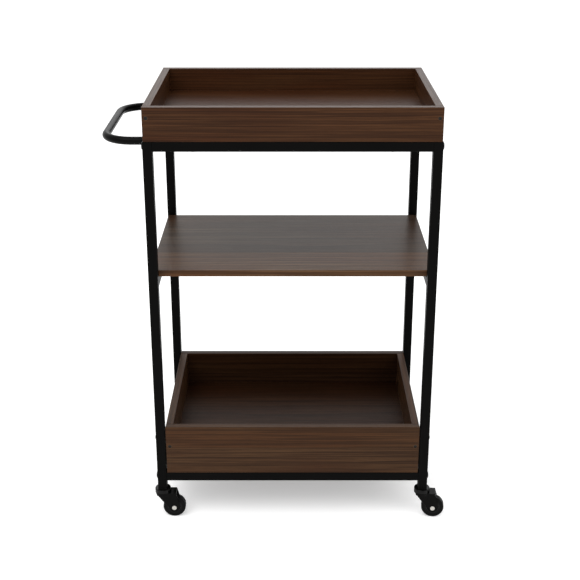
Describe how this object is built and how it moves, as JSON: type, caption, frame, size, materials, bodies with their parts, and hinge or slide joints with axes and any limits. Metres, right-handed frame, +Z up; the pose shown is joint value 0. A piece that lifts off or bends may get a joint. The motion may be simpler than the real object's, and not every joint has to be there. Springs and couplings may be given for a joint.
{
  "type": "bar cart",
  "caption": "Rectangular serving cart with a black square-tube frame, a wooden tray top, a wooden shelf, a wooden bottom box, a tubular push handle and swivel casters.",
  "frame": {"origin": "on the floor, under the centre of the bounding box", "axes": "+X towards the end without the handle, +Y from the front to the rear, +Z up"},
  "size_m": [0.7358, 0.43, 0.938],
  "materials": {
    "steel": "satin black powder coat",
    "handle_steel": "satin black powder coat",
    "bolt_steel": "black",
    "screw_steel": "zinc plated",
    "dark_screw_steel": "blackened",
    "tray_wood": "dark stain, satin varnish",
    "shelf_wood": "grey brown stain, satin varnish",
    "box_wood": "dark stain, satin varnish",
    "caster_plastic": "black nylon",
    "caster_metal": "dark zinc",
    "fork_metal": "satin black",
    "rivet_metal": "zinc plated",
    "tread_rubber": "satin",
    "plastic_plug": "black"
  },
  "bodies": {
    "cart": {"leg_front_left": "steel", "leg_front_right": "steel", "leg_rear_left": "steel", "leg_rear_right": "steel", "top_side_rail_left": "steel", "shelf_side_rail_left": "steel", "bottom_side_rail_left": "steel", "top_side_rail_right": "steel", "shelf_side_rail_right": "steel", "bottom_side_rail_right": "steel", "top_rail_front": "steel", "bottom_rail_front": "steel", "top_rail_rear": "steel", "bottom_rail_rear": "steel", "frame_bolts": "bolt_steel", "rail_end_plugs": "plastic_plug", "tray_joint_screws": "dark_screw_steel", "box_joint_screws": "dark_screw_steel", "tray_fixing_screws": "screw_steel", "box_fixing_screws": "screw_steel", "shelf_fixing_screws": "screw_steel", "box_side_screws": "bolt_steel", "shelf_panel": "shelf_wood", "handle_tube": "handle_steel", "handle_end_plugs": "plastic_plug", "handle_bolts": "bolt_steel", "leg_inserts": "plastic_plug", "caster_balls": "rivet_metal", "tray_front_board": "tray_wood", "box_front_board": "box_wood", "tray_rear_board": "tray_wood", "box_rear_board": "box_wood", "tray_left_board": "tray_wood", "box_left_board": "box_wood", "tray_right_board": "tray_wood", "box_right_board": "box_wood", "tray_floor_panel": "tray_wood", "box_floor_panel": "box_wood", "caster_front_left_stem": "caster_metal", "caster_front_right_stem": "caster_metal", "caster_rear_left_stem": "caster_metal", "caster_rear_right_stem": "caster_metal"},
    "fork_front_left": {"caster_front_left_fork": "fork_metal", "caster_front_left_axle": "rivet_metal"},
    "wheel_front_left": {"caster_front_left_hub": "caster_plastic", "caster_front_left_tread": "tread_rubber"},
    "fork_front_right": {"caster_front_right_fork": "fork_metal", "caster_front_right_axle": "rivet_metal"},
    "wheel_front_right": {"caster_front_right_hub": "caster_plastic", "caster_front_right_tread": "tread_rubber"},
    "fork_rear_left": {"caster_rear_left_fork": "fork_metal", "caster_rear_left_axle": "rivet_metal"},
    "wheel_rear_left": {"caster_rear_left_hub": "caster_plastic", "caster_rear_left_tread": "tread_rubber"},
    "fork_rear_right": {"caster_rear_right_fork": "fork_metal", "caster_rear_right_axle": "rivet_metal"},
    "wheel_rear_right": {"caster_rear_right_hub": "caster_plastic", "caster_rear_right_tread": "tread_rubber"}
  },
  "joints": [
    {"name": "swivel_front_left", "type": "hinge", "parent": "cart", "child": "fork_front_left", "pos_m": [-0.26243, -0.1975, 0.0633], "axis": [0, 0, 1], "continuous": true},
    {"name": "roll_front_left", "type": "hinge", "parent": "fork_front_left", "child": "wheel_front_left", "pos_m": [-0.23743, -0.1975, 0.025], "axis": [0, 1, 0], "continuous": true},
    {"name": "swivel_front_right", "type": "hinge", "parent": "cart", "child": "fork_front_right", "pos_m": [0.31757, -0.1975, 0.0633], "axis": [0, 0, 1], "continuous": true},
    {"name": "roll_front_right", "type": "hinge", "parent": "fork_front_right", "child": "wheel_front_right", "pos_m": [0.34246, -0.1999, 0.025], "axis": [0.0958, 0.9954, 0], "continuous": true},
    {"name": "swivel_rear_left", "type": "hinge", "parent": "cart", "child": "fork_rear_left", "pos_m": [-0.26243, 0.1975, 0.0633], "axis": [0, 0, 1], "continuous": true},
    {"name": "roll_rear_left", "type": "hinge", "parent": "fork_rear_left", "child": "wheel_rear_left", "pos_m": [-0.23743, 0.1975, 0.025], "axis": [0, 1, 0], "continuous": true},
    {"name": "swivel_rear_right", "type": "hinge", "parent": "cart", "child": "fork_rear_right", "pos_m": [0.31757, 0.1975, 0.0633], "axis": [0, 0, 1], "continuous": true},
    {"name": "roll_rear_right", "type": "hinge", "parent": "fork_rear_right", "child": "wheel_rear_right", "pos_m": [0.29257, 0.1975, 0.025], "axis": [0, -1, 0], "continuous": true}
  ]
}
